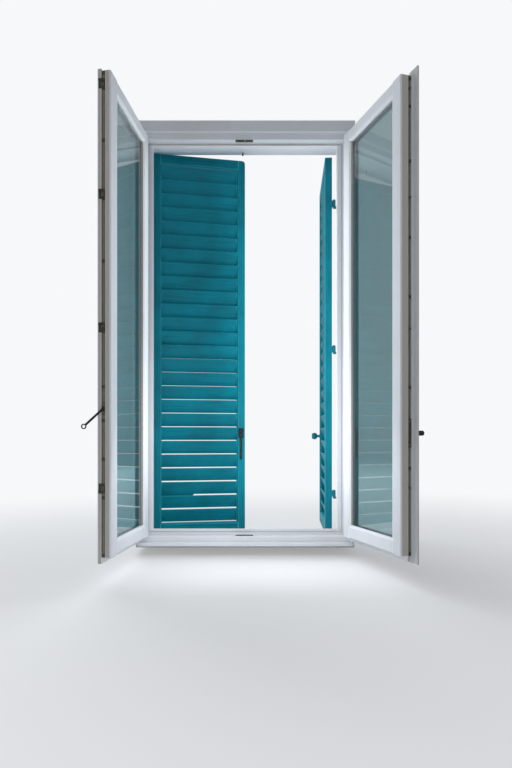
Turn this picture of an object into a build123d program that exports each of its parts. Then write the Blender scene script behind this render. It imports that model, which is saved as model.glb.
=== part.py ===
from build123d import *
import os
from math import sin, radians

# Casement window of painted timber with a pair of louvred shutters outside.
# Millimetres. x runs to the right seen from the room, y outwards and z up.
# The origin is the middle of the underside of the fixed frame.
# Both sashes open into the room and both shutters open outwards.

# Fixed frame: clear opening and sections
DAY_WIDTH = 960.0
DAY_HEIGHT = 1994.0
JAMB_W = 80.0
HEAD_H = 80.0
BOTTOM_H = 80.0
FRAME_D = 68.0
REBATE_SIDE = 45.0
REBATE_HEAD = 10.0
REBATE_BOTTOM = 30.0
REBATE_DEPTH = 42.0
STOP_SLOPE = 6.0
FRAME_ARRIS = 3.0
SEAL_W = 3.0
SEAL_INSET = 5.0
FIXING_HOLE_R = 4.5
FIXING_END = 280.0

# Room side trim
CASING_D = 20.0
CASING_H = 59.0
CASING_REVEAL = 29.0
CASING_ARRIS = 4.0
TRIM_D = 22.0
TRIM_H = 20.0
TRIM_END = 15.0
TRIM_ARRIS = 6.0

# Sashes
SASH_T = 58.0
LIP_T = 18.0
SASH_GAP_SIDE = 4.0
SASH_GAP_TOP = 4.0
SASH_GAP_BOTTOM = 5.0
LIP_GAP = 1.0
SEAL_CLEAR = 0.5
LIP_SIDE = 8.0
LIP_TOP = 8.0
LIP_BOTTOM = 27.0
STILE_W = 72.0
LEFT_FREE_STILE_W = 88.0
TOP_RAIL_W = 62.0
BOTTOM_RAIL_W = 66.0
GLASS_REBATE = 18.0
GLASS_STOP_T = 15.0
GLASS_EDGE_GAP = 4.0
PANE_T = 4.0
UNIT_T = 24.0
SPACER_INSET = 2.0
SPACER_W = 9.0
OUTER_ARRIS = 5.0
ROOM_ARRIS = 4.0
BEVEL_W = 12.0
BEVEL_D = 6.0
BEAD_BEVEL = 8.0
COPE = 16.0
MEET_GAP = 8.0
MEET_OFFSET = 8.0

# Sash hinges
PIVOT_OUT = 17.0
PIVOT_FRONT = 12.0
BARREL_R = 7.0
BARREL_L = 42.0
BARREL_GAP = 0.5
BARREL_ARRIS = 1.5
PIN_R = 3.5
RUN_FIT = 0.05
STUD_R = 4.0
STUD_FIT = 0.05
STUD_DEPTH = 30.0
STUD_RISE = 22.0
HINGE_PIN_SHORT = 6.0
HINGE_BORE_SHORT = 5.0
SASH_HINGE_AT = (0.0815, 0.501, 0.921)
LEFT_SASH_OPEN = 98.5
RIGHT_SASH_OPEN = 107.0

# Edge gear of the sashes
GROOVE_DEPTH = 10.0
PLATE_T = 1.7
ROD_T = 4.0
ROD_GAP = 0.4
GUIDE_T = 1.5
GUIDE_H = 14.0
LEFT_GUIDES_AT = (0.0, 0.12, 0.2, 0.28, 0.35, 0.47, 0.61, 0.74, 0.86, 1.0)
RIGHT_GUIDES_AT = (0.0, 0.18, 0.35, 0.54, 0.665, 0.825, 0.94, 1.0)
LEFT_GROOVE_W = 16.5
RIGHT_GROOVE_W = 16.0
RIGHT_GROOVE_Y = 6.0
LEFT_ROD_W = 10.0
RIGHT_ROD_W = 9.0
ROD_END = 3.0
LOCK_ROD_END = 18.0
CASE_CLEAR = 4.0
LEVER_AT = 0.3057
LEVER_CASE_H = 44.0
LEVER_PIN_R = 3.0
LEVER_T = 3.6
LEVER_CLEAR = 0.4
LEVER_L = 112.0
LEVER_HUB_R = 7.5
LEVER_W = 9.0
LEVER_RING_R = 11.5
LEVER_EYE_R = 7.0
LEVER_RIVET_AT = 31.0
LEVER_FALL = 41.0
LEVER_RIVET_T = 0.8
BOLT_THROW = 16.0
CAM_R = 3.5
CAM_REACH = 5.5
CAMS_AT = (0.1417, 0.4726, 0.7467, 0.9738)
CAM_THROW = 14.0
CAM_CLEAR = 1.0
CAM_ROOT = 1.0
KEEP_PLATE_T = 1.2
KEEP_WALL = 3.3
KEEP_WALL_T = 2.5
KEEP_H = 42.0
KEEP_W = 26.0
KEEP_ARRIS = 2.0
KEEP_EYE_W = 9.0
KEEP_EYE_H = 22.0
KEEP_EYE_IN = 17.0
STRIKE_T = 2.0
STRIKE_L = 90.0
STRIKE_X = -5.0
STRIKE_WEB = 1.2
STRIKE_D = 22.0
SLOT_CLEAR = 1.6

# Astragal and handle of the right sash
ASTRAGAL_T = 11.0
ASTRAGAL_LAP = 31.0
ASTRAGAL_OVER = 19.0
ASTRAGAL_UNDER = 6.0
ASTRAGAL_SEAT = 25.0
ASTRAGAL_CLEAR = 1.5
ASTRAGAL_ARRIS = 3.0
HANDLE_AT = 0.2558
HANDLE_BACKSET = 15.0
ROSE_W = 30.0
ROSE_H = 72.0
ROSE_T = 7.0
HANDLE_GAP = 0.4
HUB_R = 11.0
HUB_L = 34.0
HUB_END = 10.0
HUB_ARRIS = 3.0
GRIP_L = 108.0
GRIP_R = 8.5
GRIP_TIP_R = 6.5
GRIP_TIP_L = 4.0
SPINDLE = 7.0
SPINDLE_HOLE_R = 5.2
SPINDLE_L = 30.0
GEAR_CASE_H = 120.0

# Outer lining, sill and drip
LINING_IN = 30.0
LINING_T = 22.0
LINING_UP = 27.0
LINING_DROP = 30.0
LINING_DROP_Y = 225.0
SILL_T = 34.0
SILL_SLOPE = 0.06
SILL_RISE = 10.0
SILL_NOSE = 30.0
SILL_EXTRA = 23.0
DRIP_W = 8.0
DRIP_D = 6.0
RAIN_BAR_D = 12.0
RAIN_BAR_H = 20.0
STOP_PIN_R = 4.0
STOP_PIN_X = -9.0
STOP_PIN_HANG = 26.0
STOP_PIN_IN = 15.0
STOP_PIN_CLEAR = 0.5

# Shutters
SHUTTER_Y = 275.0
SHUTTER_T = 40.0
SHUTTER_SIDE_GAP = 4.0
SHUTTER_TOP_GAP = 10.0
SHUTTER_STILE_W = 46.0
SHUTTER_TOP_H = 57.0
SHUTTER_BOTTOM_H = 64.0
SHUTTER_CORNER_R = 18.0
SHUTTER_CHAMFER = 7.0
SHUTTER_LAP = 9.7
SHUTTER_PASS = 5.6
SHUTTER_LAP_GAP = 1.5
SHUTTER_LAP_X = 4.0
SHUTTER_MEET_CLEAR = 0.5
SLAT_L = 79.7
SLAT_T = 8.0
SLAT_ANGLE = 68.0
SLAT_PITCH = 78.7
SLAT_END_GAP = 4.0
SHUTTER_PIVOT_IN = 7.0
SHUTTER_PIVOT_OUT = 12.0
SHUTTER_HINGE_AT = (0.106, 0.491, 0.8784)
EYE_R = 9.0
EYE_H = 36.0
PINTLE_R = 6.0
PINTLE_ARM_H = 10.0
PINTLE_ARM_D = 13.0
PINTLE_GAP = 0.5
PINTLE_TOP = 4.0
PLATE_W = 20.0
PLATE_IN = 1.0
PLATE_D = 5.0
PLATE_H = 64.0
PLATE_SCREW_AT = 0.32
STRAP_SCREWS_AT = (0.3, 0.65, 1.0)
STRAP_T = 4.0
STRAP_H = 34.0
STRAP_L = 210.0
HEAD_R = 5.0
HEAD_T = 1.5
LEFT_SHUTTER_OPEN = 10.0
RIGHT_SHUTTER_OPEN = 95.0

# Shutter latch and pull
LATCH_X = -20.0
LATCH_Z = 580.0
LATCH_PLATE_W = 30.0
LATCH_PLATE_H = 58.0
LATCH_PLATE_T = 3.0
LATCH_PIN_R = 4.0
LATCH_BAR_L = 146.0
LATCH_BAR_W = 13.0
LATCH_BAR_T = 5.0
LATCH_HUB_R = 11.0
LATCH_CLEAR = 0.5
LATCH_CAP_R = 7.0
LATCH_CAP_T = 2.5
LATCH_TIP_R = 7.0
LATCH_TIP_T = 10.0
KNOB_X = 38.0
KNOB_R = 22.0
KNOB_NECK_R = 8.0
KNOB_BASE_R = 12.0
KNOB_BASE_T = 3.0
KNOB_NECK_L = 14.0
KNOB_LENGTH = 52.0
KNOB_BELOW = 1.5
KNOB_BACK_R = 16.0
KNOB_FRONT_R = 15.0
KNOB_FLARE = 2.0
KNOB_WIDE_AT = (0.4, 0.7)

# How far a cutting tool runs past what it cuts
PAST = 1.0

# Places that follow from the sizes
DAY_HALF = DAY_WIDTH / 2
FRAME_HALF = DAY_HALF + JAMB_W
DAY_TOP = BOTTOM_H + DAY_HEIGHT
FRAME_TOP = DAY_TOP + HEAD_H
FIXING_Z = (FIXING_END, FRAME_TOP - FIXING_END)
LINING_HALF = FRAME_HALF - LINING_IN
LINING_TOP = FRAME_TOP + LINING_UP
Y_ROOM = -FRAME_D / 2
Y_OUT = FRAME_D / 2
Y_STOP = Y_ROOM + REBATE_DEPTH
SIDE_X = DAY_HALF + REBATE_SIDE
HEAD_Z = DAY_TOP + REBATE_HEAD
FLOOR_Z = BOTTOM_H - REBATE_BOTTOM

Y_LIP = Y_ROOM - LIP_GAP
Y_SASH_ROOM = Y_LIP - LIP_T
Y_SASH_OUT = Y_SASH_ROOM + SASH_T
Y_GLASS = Y_SASH_OUT - GLASS_STOP_T
Y_BEAD = Y_GLASS - UNIT_T
SASH_EDGE = -(SIDE_X - SASH_GAP_SIDE)
SASH_TOP = HEAD_Z - SASH_GAP_TOP
SASH_BOTTOM = FLOOR_Z + SASH_GAP_BOTTOM
SASH_H = SASH_TOP - SASH_BOTTOM
SASH_HINGE_Z = [SASH_BOTTOM + share * SASH_H for share in SASH_HINGE_AT]
CAM_Z = [SASH_BOTTOM + share * SASH_H for share in CAMS_AT]
LEVER_Z = SASH_BOTTOM + LEVER_AT * SASH_H
HANDLE_Z = SASH_BOTTOM + HANDLE_AT * SASH_H
LEFT_MEET = MEET_OFFSET - MEET_GAP / 2
RIGHT_MEET = -(MEET_OFFSET + MEET_GAP / 2)
SASH_PIVOT = (SASH_EDGE - PIVOT_OUT, Y_ROOM - PIVOT_FRONT)

LEFT_GROOVE = (Y_LIP, Y_LIP + LEFT_GROOVE_W)
RIGHT_GROOVE = (Y_SASH_ROOM + RIGHT_GROOVE_Y, Y_SASH_ROOM + RIGHT_GROOVE_Y + RIGHT_GROOVE_W)

Y_FACE = SHUTTER_Y + SHUTTER_T
SHUTTER_EDGE = -(LINING_HALF - SHUTTER_SIDE_GAP)
SHUTTER_TOP = LINING_TOP - SHUTTER_TOP_GAP
SHUTTER_HINGE_Z = [share * SHUTTER_TOP for share in SHUTTER_HINGE_AT]
SHUTTER_PIVOT = (SHUTTER_EDGE + SHUTTER_PIVOT_IN, Y_FACE + SHUTTER_PIVOT_OUT)
SHUTTER_MID = SHUTTER_Y + SHUTTER_T / 2


def block(x, y, z):
    """Box between two corners, each given as low and high."""
    size = (x[1] - x[0], y[1] - y[0], z[1] - z[0])
    centre = ((x[0] + x[1]) / 2, (y[0] + y[1]) / 2, (z[0] + z[1]) / 2)
    return Pos(*centre) * Box(*size)


def prism_z(points, z):
    """Upright bar with the given section in x and y."""
    outline = Polyline(*[(px, py, z[0]) for px, py in points], close=True)
    return extrude(make_face(outline), amount=z[1] - z[0], dir=(0, 0, 1))


def prism_x(points, x):
    """Level bar with the given section in y and z."""
    outline = Polyline(*[(x[0], py, pz) for py, pz in points], close=True)
    return extrude(make_face(outline), amount=x[1] - x[0], dir=(1, 0, 0))


def rod_x(x, y, z, radius):
    """Round bar along x."""
    return Pos((x[0] + x[1]) / 2, y, z) * Rot(0, 90, 0) * Cylinder(radius, x[1] - x[0])


def rod_y(x, y, z, radius):
    """Round bar along y."""
    return Pos(x, (y[0] + y[1]) / 2, z) * Rot(90, 0, 0) * Cylinder(radius, y[1] - y[0])


def rod_z(x, y, z, radius):
    """Round bar along z."""
    return Pos(x, y, (z[0] + z[1]) / 2) * Cylinder(radius, z[1] - z[0])


def flipped(shape):
    """The same piece for the other side of the window."""
    return mirror(shape, about=Plane.YZ)


def turned(shape, pivot, angle):
    """The piece after its leaf has turned about an upright axis."""
    return Pos(pivot[0], pivot[1], 0) * Rot(0, 0, angle) * Pos(-pivot[0], -pivot[1], 0) * shape


def solids_of(shapes):
    """Flat list of the solids in a list of shapes."""
    found = []
    for shape in shapes:
        found.extend(shape.solids())
    return found


# Fixed frame

def seal_strips():
    """Four gasket strips set into the stop that the sashes close against."""
    y = (Y_SASH_OUT + SEAL_CLEAR, Y_STOP + SEAL_INSET)
    side = DAY_HALF + REBATE_SIDE / 2
    head = DAY_TOP + REBATE_HEAD / 2
    foot = BOTTOM_H - REBATE_BOTTOM / 2
    half = SEAL_W / 2
    left = block((-side - half, -side + half), y, (foot - half, head + half))
    across = (-side + half, side - half)
    top = block(across, y, (head - half, head + half))
    low = block(across, y, (foot - half, foot + half))
    return [left, flipped(left), top, low]


def strike(z):
    """Slotted plate that the shoot bolt of the left sash enters."""
    x = (STRIKE_X - STRIKE_L / 2, STRIKE_X + STRIKE_L / 2)
    plate = block(x, (Y_ROOM, Y_ROOM + STRIKE_D), z)
    return plate - bolt_slot((z[0] - STRIKE_T, z[1] + STRIKE_T))


def bolt_slot(z):
    """Room that a shoot bolt needs in the frame, behind a thin web."""
    x = rod_span(LEFT_MEET)
    y = rod_width(LEFT_GROOVE, LEFT_ROD_W)
    return block((x[0] - SLOT_CLEAR, x[1] + SLOT_CLEAR), (Y_ROOM + STRIKE_WEB, y[1] + SLOT_CLEAR), z)


def fixed_frame():
    """Jambs, head and bottom rail with their rebates, seals and strikes."""
    seals = seal_strips()
    jamb = prism_z(
        [
            (-FRAME_HALF, Y_ROOM),
            (-SIDE_X - FRAME_ARRIS, Y_ROOM),
            (-SIDE_X, Y_ROOM + FRAME_ARRIS),
            (-SIDE_X, Y_STOP),
            (-DAY_HALF, Y_STOP),
            (-DAY_HALF, Y_OUT),
            (-FRAME_HALF, Y_OUT),
        ],
        (0, FRAME_TOP),
    )
    through = (-FRAME_HALF - PAST, -DAY_HALF + PAST)
    holes = [rod_x(through, (Y_STOP + Y_OUT) / 2, z, FIXING_HOLE_R) for z in FIXING_Z]
    studs = [frame_stud(z, STUD_R + STUD_FIT) for z in SASH_HINGE_Z]
    jamb = jamb - holes - studs - seals
    other = flipped(jamb)
    length = (-FRAME_HALF, FRAME_HALF)
    head = prism_x(
        [
            (Y_ROOM, FRAME_TOP),
            (Y_ROOM, HEAD_Z + FRAME_ARRIS),
            (Y_ROOM + FRAME_ARRIS, HEAD_Z),
            (Y_STOP, HEAD_Z),
            (Y_STOP, DAY_TOP),
            (Y_OUT, DAY_TOP),
            (Y_OUT, FRAME_TOP),
        ],
        length,
    )
    foot = prism_x(
        [
            (Y_ROOM, 0),
            (Y_ROOM, FLOOR_Z - FRAME_ARRIS),
            (Y_ROOM + FRAME_ARRIS, FLOOR_Z),
            (Y_STOP, FLOOR_Z),
            (Y_STOP, BOTTOM_H),
            (Y_OUT, BOTTOM_H - STOP_SLOPE),
            (Y_OUT, 0),
        ],
        length,
    )
    half = SIDE_X + FRAME_ARRIS + PAST
    room = block((-half, half), (Y_ROOM - PAST, Y_OUT + PAST), (-PAST, FRAME_TOP + PAST))
    deep = BOLT_THROW + PAST
    head = (head & room) - jamb - other - seals - bolt_slot((HEAD_Z - PAST, HEAD_Z + deep))
    foot = (foot & room) - jamb - other - seals - bolt_slot((FLOOR_Z - deep, FLOOR_Z + PAST))
    top_strike = strike((HEAD_Z - STRIKE_T, HEAD_Z))
    low_strike = strike((FLOOR_Z, FLOOR_Z + STRIKE_T))
    return {
        "frame_jamb_left": [jamb],
        "frame_jamb_right": [other],
        "frame_head": [head],
        "frame_bottom_rail": [foot],
        "frame_seal": seals,
        "frame_strikes": [top_strike, low_strike],
    }


def room_trim():
    """Casing above the head and nosing below the bottom rail."""
    low = HEAD_Z + CASING_REVEAL
    front = Y_ROOM - CASING_D
    casing = prism_x(
        [
            (Y_ROOM, low),
            (front + CASING_ARRIS, low),
            (front, low + CASING_ARRIS),
            (front, low + CASING_H),
            (Y_ROOM, low + CASING_H),
        ],
        (-FRAME_HALF, FRAME_HALF),
    )
    nose = Y_ROOM - TRIM_D
    trim = prism_x(
        [
            (Y_ROOM, 0),
            (nose, 0),
            (nose, TRIM_H - TRIM_ARRIS),
            (nose + TRIM_ARRIS, TRIM_H),
            (Y_ROOM, TRIM_H),
        ],
        (-FRAME_HALF + TRIM_END, FRAME_HALF - TRIM_END),
    )
    return {"head_casing": [casing], "bottom_trim": [trim]}


def outer_lining():
    """Lining boards round the outer reveal, the sill and the rain bar."""
    wide = LINING_HALF + LINING_T + SILL_EXTRA
    nose = Y_FACE + SILL_NOSE
    front = SILL_RISE - SILL_SLOPE * (nose - Y_OUT)
    under = front - SILL_T
    groove = nose - 2 * DRIP_W
    sill = prism_x(
        [
            (Y_OUT, SILL_RISE),
            (nose, front),
            (nose, under),
            (groove + DRIP_W, under),
            (groove + DRIP_W, under + DRIP_D),
            (groove, under + DRIP_D),
            (groove, under),
            (Y_OUT, SILL_RISE - SILL_T),
        ],
        (-wide, wide),
    )
    side = block((-LINING_HALF - LINING_T, -LINING_HALF), (Y_OUT, Y_FACE), (front, LINING_TOP)) - sill
    pin_y = SHUTTER_Y - STOP_PIN_CLEAR - STOP_PIN_R
    pin = rod_z(STOP_PIN_X, pin_y, (LINING_TOP - STOP_PIN_HANG, LINING_TOP + STOP_PIN_IN), STOP_PIN_R)
    hole = rod_z(STOP_PIN_X, pin_y, (LINING_TOP, LINING_TOP + STOP_PIN_IN), STOP_PIN_R + STUD_FIT)
    across = (-LINING_HALF - LINING_T, LINING_HALF + LINING_T)
    head = block(across, (Y_OUT, Y_FACE), (LINING_TOP, LINING_TOP + LINING_T)) - hole
    low = (LINING_TOP - LINING_DROP, LINING_TOP)
    head = head + block((-LINING_HALF, LINING_HALF), (Y_OUT, LINING_DROP_Y), low)
    base = BOTTOM_H - STOP_SLOPE
    bar = prism_x(
        [
            (Y_OUT, base - RAIN_BAR_H),
            (Y_OUT, base - PAST),
            (Y_OUT + RAIN_BAR_D, base - RAIN_BAR_H / 2),
            (Y_OUT + RAIN_BAR_D, base - RAIN_BAR_H),
        ],
        (-DAY_HALF + PAST, DAY_HALF - PAST),
    )
    return {
        "lining_left": [side],
        "lining_right": [flipped(side)],
        "lining_head": [head],
        "outer_sill": [sill],
        "rain_bar": [bar],
        "shutter_stop_pin": [pin],
    }


# Sash hinges

def barrel(z):
    """One half of the barrel of a sash hinge."""
    tube = rod_z(SASH_PIVOT[0], SASH_PIVOT[1], z, BARREL_R)
    return chamfer(tube.edges().filter_by(GeomType.CIRCLE), BARREL_ARRIS)


def frame_stud(height, radius):
    """Stud of the frame's half of a hinge, level into the jamb."""
    y = (SASH_PIVOT[1], Y_ROOM + STUD_DEPTH)
    return rod_y(SASH_PIVOT[0], y, height - STUD_RISE, radius)


def sash_stud(height, radius):
    """Stud of the sash's half of a hinge, level into the lip of the stile."""
    x = (SASH_PIVOT[0], SASH_EDGE - LIP_SIDE + STUD_DEPTH)
    return rod_x(x, SASH_PIVOT[1], height + STUD_RISE, radius)


def frame_hinge_half(height):
    """Lower barrel with its stud and the pin that stands up from it."""
    gap = BARREL_GAP / 2
    body = barrel((height - BARREL_L, height - gap)) + frame_stud(height, STUD_R)
    pin_z = (height - BARREL_L / 2, height + BARREL_L - HINGE_PIN_SHORT)
    pin = rod_z(SASH_PIVOT[0], SASH_PIVOT[1], pin_z, PIN_R)
    return body + pin


def sash_hinge_half(height):
    """Upper barrel with its stud, bored for the pin."""
    gap = BARREL_GAP / 2
    body = barrel((height + gap, height + BARREL_L)) + sash_stud(height, STUD_R)
    bore = (height - PAST, height + BARREL_L - HINGE_BORE_SHORT)
    return body - rod_z(SASH_PIVOT[0], SASH_PIVOT[1], bore, PIN_R + RUN_FIT)


# Sash members, drawn closed and hung on the left

def sash_section(edge, way, sight, lip):
    """Two outlines across a member: the body with its glazing stop, and the lip."""
    seat = edge + way * (sight - GLASS_REBATE)
    inner = edge + way * sight
    body = [
        (edge, Y_LIP),
        (edge, Y_SASH_OUT - OUTER_ARRIS),
        (edge + way * OUTER_ARRIS, Y_SASH_OUT),
        (inner - way * BEVEL_W, Y_SASH_OUT),
        (inner, Y_SASH_OUT - BEVEL_D),
        (inner, Y_GLASS),
        (seat, Y_GLASS),
        (seat, Y_LIP),
    ]
    outer = edge - way * lip
    cheek = [
        (outer, Y_LIP),
        (outer, Y_SASH_ROOM + ROOM_ARRIS),
        (outer + way * ROOM_ARRIS, Y_SASH_ROOM),
        (seat, Y_SASH_ROOM),
        (seat, Y_LIP),
    ]
    return body, cheek


def stile(edge, way, width, lip):
    """Upright of a sash."""
    body, cheek = sash_section(edge, way, width, lip)
    low = (SASH_BOTTOM - LIP_BOTTOM, SASH_TOP + LIP_TOP)
    return prism_z(body, (SASH_BOTTOM, SASH_TOP)) + prism_z(cheek, low)


def rail(edge, way, sight, lip, span):
    """Cross member of a sash, before its ends are coped to the stiles."""
    body, cheek = sash_section(edge, way, sight, lip)
    body = [(y, z) for z, y in body]
    cheek = [(y, z) for z, y in cheek]
    return prism_x(body, span) + prism_x(cheek, span)


def bead_section(seat, way):
    """Outline of a glazing bead, from the glazing rebate to the sight line."""
    inner = seat + way * GLASS_REBATE
    return [
        (seat, Y_SASH_ROOM),
        (inner - way * BEAD_BEVEL, Y_SASH_ROOM),
        (inner, Y_SASH_ROOM + BEAD_BEVEL),
        (inner, Y_BEAD),
        (seat, Y_BEAD),
    ]


def sash_parts(meet, free_width):
    """Stiles, rails, glass unit, spacer and beads of one closed sash."""
    hinge = stile(SASH_EDGE, 1, STILE_W, LIP_SIDE)
    hinge = hinge - [sash_stud(z, STUD_R + STUD_FIT) for z in SASH_HINGE_Z]
    free = stile(meet, -1, free_width, 0)
    left_seat = SASH_EDGE + STILE_W - GLASS_REBATE
    right_seat = meet - free_width + GLASS_REBATE
    span = (left_seat - COPE, right_seat + COPE)
    top = rail(SASH_TOP, -1, TOP_RAIL_W, LIP_TOP, span) - hinge - free
    low = rail(SASH_BOTTOM, 1, BOTTOM_RAIL_W, LIP_BOTTOM, span) - hinge - free

    low_seat = SASH_BOTTOM + BOTTOM_RAIL_W - GLASS_REBATE
    top_seat = SASH_TOP - TOP_RAIL_W + GLASS_REBATE
    glass_x = (left_seat + GLASS_EDGE_GAP, right_seat - GLASS_EDGE_GAP)
    glass_z = (low_seat + GLASS_EDGE_GAP, top_seat - GLASS_EDGE_GAP)
    outer_pane = block(glass_x, (Y_GLASS - PANE_T, Y_GLASS), glass_z)
    inner_pane = block(glass_x, (Y_BEAD, Y_BEAD + PANE_T), glass_z)

    gap_y = (Y_BEAD + PANE_T, Y_GLASS - PANE_T)
    ring_x = (glass_x[0] + SPACER_INSET, glass_x[1] - SPACER_INSET)
    ring_z = (glass_z[0] + SPACER_INSET, glass_z[1] - SPACER_INSET)
    inside_x = (ring_x[0] + SPACER_W, ring_x[1] - SPACER_W)
    spacer = [
        block((ring_x[0], inside_x[0]), gap_y, ring_z),
        block((inside_x[1], ring_x[1]), gap_y, ring_z),
        block(inside_x, gap_y, (ring_z[0], ring_z[0] + SPACER_W)),
        block(inside_x, gap_y, (ring_z[1] - SPACER_W, ring_z[1])),
    ]

    left_bead = prism_z(bead_section(left_seat, 1), (low_seat, top_seat))
    right_bead = prism_z(bead_section(right_seat, -1), (low_seat, top_seat))
    across = (left_seat, right_seat)
    uprights = [left_bead, right_bead]
    low_bead = prism_x([(y, z) for z, y in bead_section(low_seat, 1)], across) - uprights
    top_bead = prism_x([(y, z) for z, y in bead_section(top_seat, -1)], across) - uprights
    return {
        "stile_hinge": [hinge],
        "stile_meeting": [free],
        "rail_top": [top],
        "rail_bottom": [low],
        "glass": [outer_pane, inner_pane],
        "spacer": spacer,
        "beads": [left_bead, right_bead, low_bead, top_bead],
        "hinge_halves": [sash_hinge_half(z) for z in SASH_HINGE_Z],
    }


# Gear in the meeting edges, drawn on a sash hung on the left

def rod_span(meet):
    """Low and high x of a rod in the groove of a meeting edge."""
    floor = meet - GROOVE_DEPTH + PLATE_T + ROD_GAP
    return (floor, floor + ROD_T)


def rod_width(groove, width):
    """Low and high y of a rod in the middle of its groove."""
    middle = (groove[0] + groove[1]) / 2
    return (middle - width / 2, middle + width / 2)


def edge_groove(meet, groove):
    """Groove along the whole meeting edge."""
    z = (SASH_BOTTOM - LIP_BOTTOM - PAST, SASH_TOP + LIP_TOP + PAST)
    return block((meet - GROOVE_DEPTH, meet + PAST), groove, z)


def edge_plate(meet, groove, width, guides, case_z, case_h):
    """Strip on the groove's floor with the rod guides and the gear case."""
    floor = meet - GROOVE_DEPTH
    plate = block((floor, floor + PLATE_T), groove, (SASH_BOTTOM, SASH_TOP))
    rod_x_span = rod_span(meet)
    rod_y_span = rod_width(groove, width)
    cover = rod_x_span[1] + ROD_GAP
    for share in guides:
        foot = SASH_BOTTOM + share * (SASH_H - GUIDE_H)
        height = (foot, foot + GUIDE_H)
        outer = (rod_y_span[0] - ROD_GAP - GUIDE_T, rod_y_span[1] + ROD_GAP + GUIDE_T)
        inner = (rod_y_span[0] - ROD_GAP, rod_y_span[1] + ROD_GAP)
        bridge = block((floor + PLATE_T, cover + GUIDE_T), outer, height)
        tunnel = block((floor + PLATE_T, cover), inner, (height[0] - PAST, height[1] + PAST))
        plate = plate + (bridge - tunnel)
    case_y = (groove[0] + 1, groove[1] - 1)
    case = block((floor + PLATE_T, meet), case_y, (case_z - case_h / 2, case_z + case_h / 2))
    return plate + case


def left_edge_gear():
    """Plate, keeps, flip lever and two shoot bolts of the left sash."""
    middle = (LEFT_GROOVE[0] + LEFT_GROOVE[1]) / 2
    plate = edge_plate(LEFT_MEET, LEFT_GROOVE, LEFT_ROD_W, LEFT_GUIDES_AT, LEVER_Z, LEVER_CASE_H)
    bore = (LEFT_MEET - GROOVE_DEPTH + PLATE_T, LEFT_MEET + PAST)
    plate = plate - rod_x(bore, middle, LEVER_Z, LEVER_PIN_R + RUN_FIT)

    keeps = [edge_keep(z) for z in CAM_Z]

    x = rod_span(LEFT_MEET)
    y = rod_width(LEFT_GROOVE, LEFT_ROD_W)
    clear = LEVER_CASE_H / 2 + CASE_CLEAR
    top = block(x, y, (LEVER_Z + clear, SASH_TOP - ROD_END))
    low = block(x, y, (SASH_BOTTOM + ROD_END, LEVER_Z - clear))
    return {
        "edge_plate": [plate],
        "edge_keeps": keeps,
        "flip_lever": [flip_lever(middle)],
        "shoot_bolt_top": [top],
        "shoot_bolt_bottom": [low],
    }


def edge_keep(height):
    """Plate with an oval eye and a wall that a cam of the other sash passes behind."""
    shift = CAM_THROW if height > HANDLE_Z else -CAM_THROW
    back = RIGHT_ROD_Y[0] - KEEP_WALL_T - CAM_CLEAR
    outline = Pos(back + KEEP_W / 2, 0) * RectangleRounded(KEEP_W, KEEP_H, KEEP_ARRIS)
    eye = Pos(back + KEEP_EYE_IN, 0) * SlotOverall(KEEP_EYE_H, KEEP_EYE_W, rotation=90)
    base = extrude(Plane.YZ * (outline - eye), amount=KEEP_PLATE_T, dir=(1, 0, 0))
    base = Pos(LEFT_MEET, 0, height) * base
    wall_z = (height + shift - CAM_R - CAM_CLEAR, height + shift + CAM_R + CAM_CLEAR)
    wall_x = (LEFT_MEET + KEEP_PLATE_T, LEFT_MEET + KEEP_PLATE_T + KEEP_WALL)
    return base + block(wall_x, (back, back + KEEP_WALL_T), wall_z)


def flip_lever(middle):
    """Flat lever with a hub, a straight arm and an eye, as it lies at rest."""
    low = LEFT_MEET + LEVER_CLEAR
    x = (low, low + LEVER_T)
    arm_end = -LEVER_L + LEVER_EYE_R + PAST
    arm = block(x, (-LEVER_W / 2, LEVER_W / 2), (arm_end, 0))
    hub = rod_x(x, 0, 0, LEVER_HUB_R)
    ring = rod_x(x, 0, -LEVER_L, LEVER_RING_R)
    eye = rod_x((x[0] - PAST, x[1] + PAST), 0, -LEVER_L, LEVER_EYE_R)
    proud = (x[1], x[1] + LEVER_RIVET_T)
    rivet = rod_x(proud, 0, -LEVER_RIVET_AT, LEVER_PIN_R)
    cap = rod_x(proud, 0, 0, LEVER_PIN_R)
    pin = rod_x((LEFT_MEET - GROOVE_DEPTH + PLATE_T + ROD_GAP, low), 0, 0, LEVER_PIN_R)
    lever = arm + hub + ring - eye + rivet + cap + pin
    swing = Rot(-(90 - LEVER_FALL), 0, 0)
    return Pos(0, middle, LEVER_Z) * swing * lever


RIGHT_ROD_Y = rod_width(RIGHT_GROOVE, RIGHT_ROD_W)


def right_edge_gear():
    """Plate with the gear case, and two rods with locking cams."""
    plate = edge_plate(RIGHT_MEET, RIGHT_GROOVE, RIGHT_ROD_W, RIGHT_GUIDES_AT, HANDLE_Z, GEAR_CASE_H)
    x = rod_span(RIGHT_MEET)
    clear = GEAR_CASE_H / 2 + CASE_CLEAR
    spans = {
        "lock_rod_top": (HANDLE_Z + clear, SASH_TOP - LOCK_ROD_END),
        "lock_rod_bottom": (SASH_BOTTOM + LOCK_ROD_END, HANDLE_Z - clear),
    }
    rods = {}
    for name, z in spans.items():
        rod = block(x, RIGHT_ROD_Y, z)
        for height in CAM_Z:
            if z[0] < height < z[1]:
                reach = (x[1] - CAM_ROOT, RIGHT_MEET + CAM_REACH)
                rod = rod + rod_x(reach, (RIGHT_ROD_Y[0] + RIGHT_ROD_Y[1]) / 2, height, CAM_R)
        rods[name] = [rod]
    return {"edge_plate": [plate], **rods}


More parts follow.
